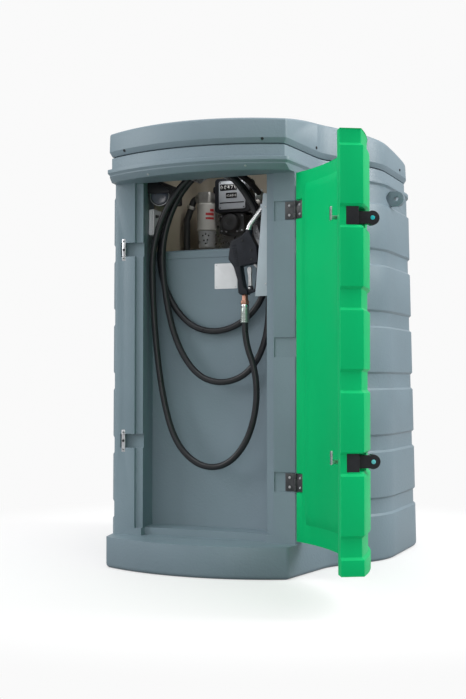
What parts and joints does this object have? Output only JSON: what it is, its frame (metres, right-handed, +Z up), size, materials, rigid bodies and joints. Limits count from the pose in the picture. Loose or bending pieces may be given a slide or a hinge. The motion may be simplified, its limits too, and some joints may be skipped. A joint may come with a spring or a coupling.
{
  "type": "bunded diesel fuel tank",
  "caption": "Plastic bunded diesel tank with banded grey body, lid, bowed green cabinet door standing open, and pump, filter, meter, hose and nozzle inside.",
  "frame": {"origin": "on the floor, on the plane of symmetry of the tank, at mid depth of the bund", "axes": "+X across the front to the hinge side, +Y from the cabinet front to the rear, +Z up"},
  "size_m": [1.5827, 1.9741, 1.888],
  "materials": {
    "black_metal": "black satin",
    "black_plastic": "black satin",
    "brass_fitting": "plated brass",
    "cast_metal": "as cast, dull",
    "clear_plastic": "clear bowl",
    "green_plastic": "rotomoulded polyethylene, satin",
    "grey_plastic": "rotomoulded polyethylene, satin, fine texture",
    "hose_rubber": "smooth black fuel hose cover",
    "light_grey": "pale grey sheet",
    "meter_grey": "grey satin",
    "spout_metal": "turned and drawn tube",
    "tank_plastic": "natural polyethylene in shade",
    "teal_plastic": "teal cap",
    "white_metal": "off white enamel",
    "white_plastic": "white moulded",
    "zinc_steel": "zinc plated"
  },
  "bodies": {
    "tank": {"bund_moulding": "grey_plastic", "filter_bowl": "clear_plastic", "filter_canister": "white_metal", "filter_head": "cast_metal", "filter_pipe": "cast_metal", "flow_meter": "black_plastic", "fuel_hose": "hose_rubber", "gauge_box": "white_plastic", "hose_hook": "zinc_steel", "inner_tank": "tank_plastic", "lid": "grey_plastic", "lower_hinge_pin": "zinc_steel", "lower_hinge_post_leaf": "black_metal", "lower_strike_plate": "zinc_steel", "meter_face": "meter_grey", "meter_hose_tail": "zinc_steel", "nozzle_body": "black_metal", "nozzle_guard": "black_metal", "nozzle_holster": "light_grey", "nozzle_hose_tail": "zinc_steel", "nozzle_spout": "spout_metal", "nozzle_swivel": "brass_fitting", "outlet_elbow": "cast_metal", "pump_body": "cast_metal", "pump_bracket": "zinc_steel", "pump_motor": "black_metal", "suction_pipe": "hose_rubber", "upper_hinge_pin": "zinc_steel", "upper_hinge_post_leaf": "black_metal", "upper_strike_plate": "zinc_steel", "vent_hood": "black_plastic"},
    "door": {"door_moulding": "green_plastic", "lower_hinge_door_leaf": "black_metal", "lower_latch_housing": "black_plastic", "upper_hinge_door_leaf": "black_metal", "upper_latch_housing": "black_plastic"},
    "upper_latch": {"upper_latch_bolt": "zinc_steel", "upper_latch_button": "teal_plastic", "upper_latch_knob": "black_plastic"},
    "lower_latch": {"lower_latch_bolt": "zinc_steel", "lower_latch_button": "teal_plastic", "lower_latch_knob": "black_plastic"},
    "trigger": {"nozzle_trigger": "spout_metal"}
  },
  "joints": [
    {"name": "door_hinge", "type": "hinge", "parent": "tank", "child": "door", "pos_m": [0.402, -0.553, 0.9085], "axis": [0, 0, 1], "range_deg": [-118.8, 21.2]},
    {"name": "upper_latch_turn", "type": "hinge", "parent": "door", "child": "upper_latch", "pos_m": [0.79583, -1.17181, 1.308], "axis": [0.8763, 0.4818, 0], "range_deg": [0, 90]},
    {"name": "lower_latch_turn", "type": "hinge", "parent": "door", "child": "lower_latch", "pos_m": [0.79583, -1.17181, 0.505], "axis": [0.8763, 0.4818, 0], "range_deg": [0, 90]},
    {"name": "trigger_squeeze", "type": "hinge", "parent": "tank", "child": "trigger", "pos_m": [0.191, -0.5, 1.146], "axis": [0, -1, 0], "range_deg": [0, 13], "stiffness_Nm_per_rad": 1.5, "springref_deg": -5.73}
  ]
}
